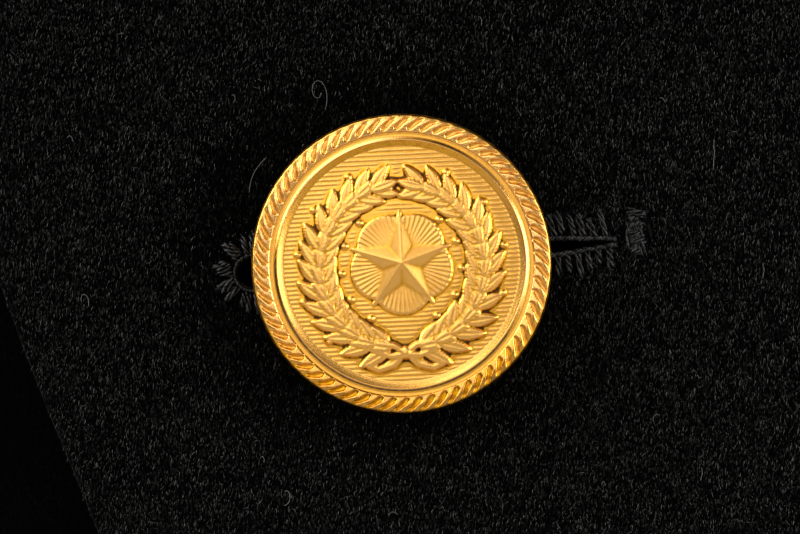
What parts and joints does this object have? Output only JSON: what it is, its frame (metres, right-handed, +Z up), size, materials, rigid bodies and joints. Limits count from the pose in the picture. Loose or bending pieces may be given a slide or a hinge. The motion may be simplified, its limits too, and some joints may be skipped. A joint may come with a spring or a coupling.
{
  "type": "military mess dress jacket",
  "caption": "Waist-length black wool mess dress jacket in its worn, hollow form, with a roll collar and gilt shank buttons down the lapped front.",
  "frame": {"origin": "midway between the two neck points, where the wearer's shoulders carry the jacket", "axes": "+Z up along the body; the wearer faces -Y; +X is the wearer's left"},
  "size_m": [0.664, 0.2676, 0.66],
  "materials": {
    "wool": "black napped wool melton",
    "gilt": "gilt, satin ground with a polished ring"
  },
  "bodies": {
    "root": {"front_left": "wool", "front_right": "wool", "side_left": "wool", "side_right": "wool", "back_left": "wool", "back_right": "wool", "collar_left": "wool", "collar_right": "wool", "sleeve_top_left": "wool", "sleeve_top_right": "wool", "sleeve_under_left": "wool", "sleeve_under_right": "wool", "button_top": "gilt", "button_middle": "gilt", "button_waist": "gilt"}
  },
  "joints": []
}
